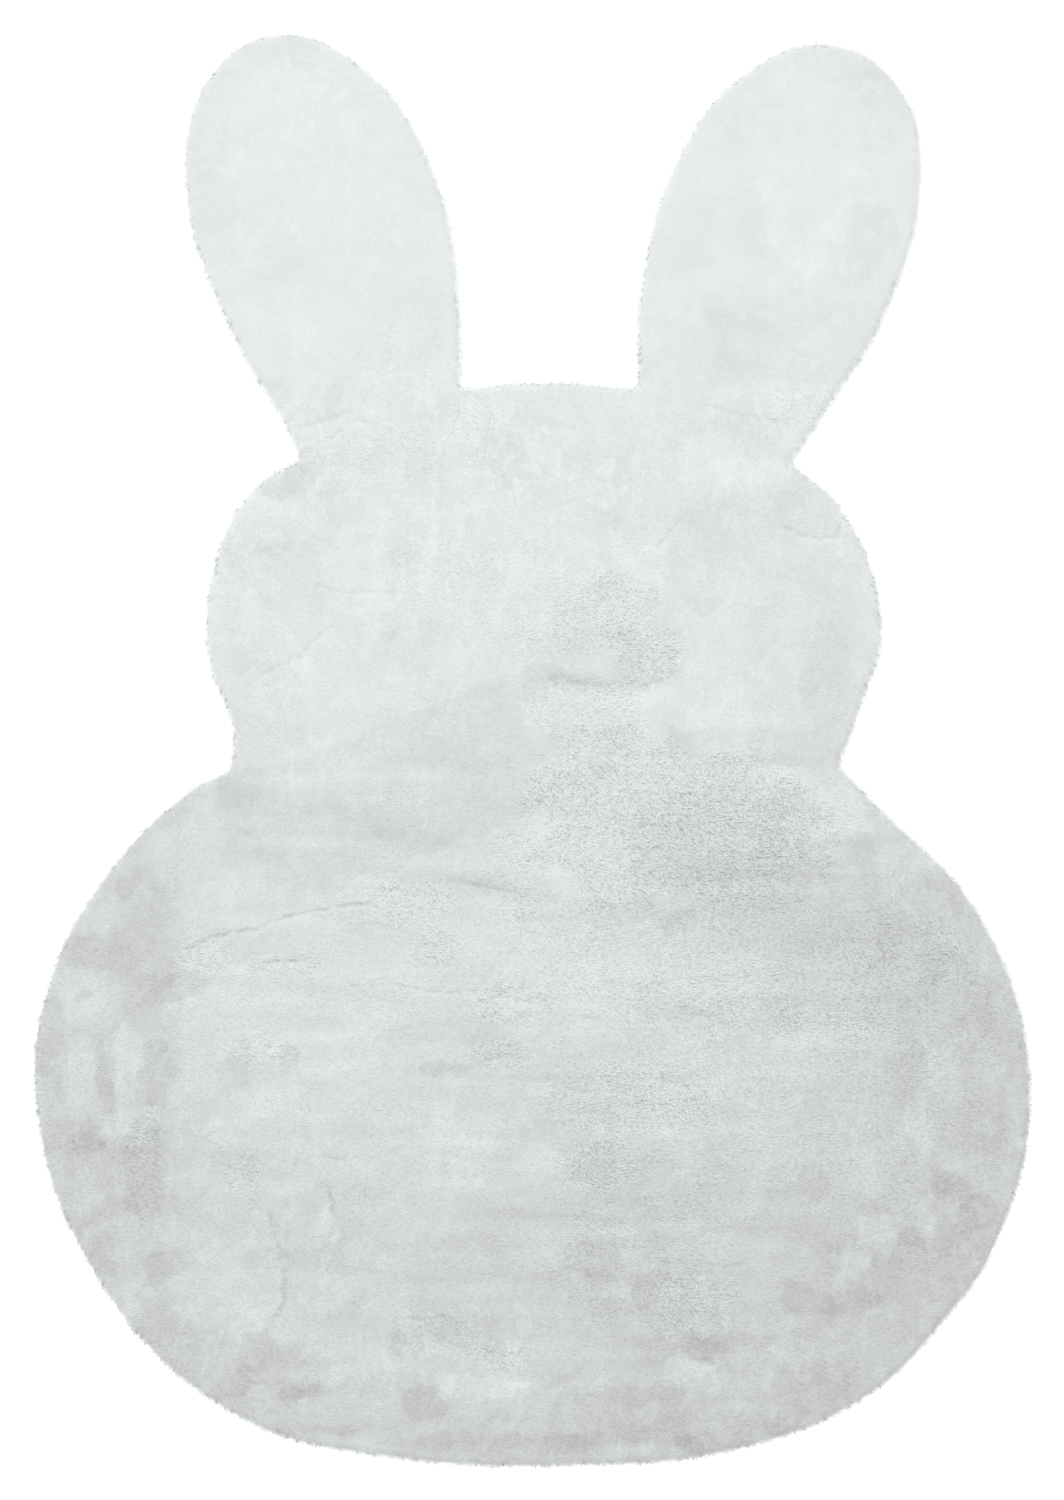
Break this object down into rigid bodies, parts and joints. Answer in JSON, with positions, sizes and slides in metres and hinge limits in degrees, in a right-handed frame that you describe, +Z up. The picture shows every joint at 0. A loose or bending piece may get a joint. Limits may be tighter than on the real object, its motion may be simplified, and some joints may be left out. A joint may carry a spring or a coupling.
{
  "type": "rabbit shaped kids rug",
  "caption": "Flat plush pile floor rug cut to a plain rabbit outline: two upright ears, a wide head and a large round body, for a child's room.",
  "frame": {"origin": "under the middle of the bounding box, on the floor that the backing lies on", "axes": "+Z up out of the pile, +Y along the rug's length towards the ears, +X to the right seen from above"},
  "size_m": [1.1148, 1.6004, 0.018],
  "materials": {
    "pile_cloth": "matte"
  },
  "bodies": {
    "root": {"rug": "pile_cloth"}
  },
  "joints": []
}
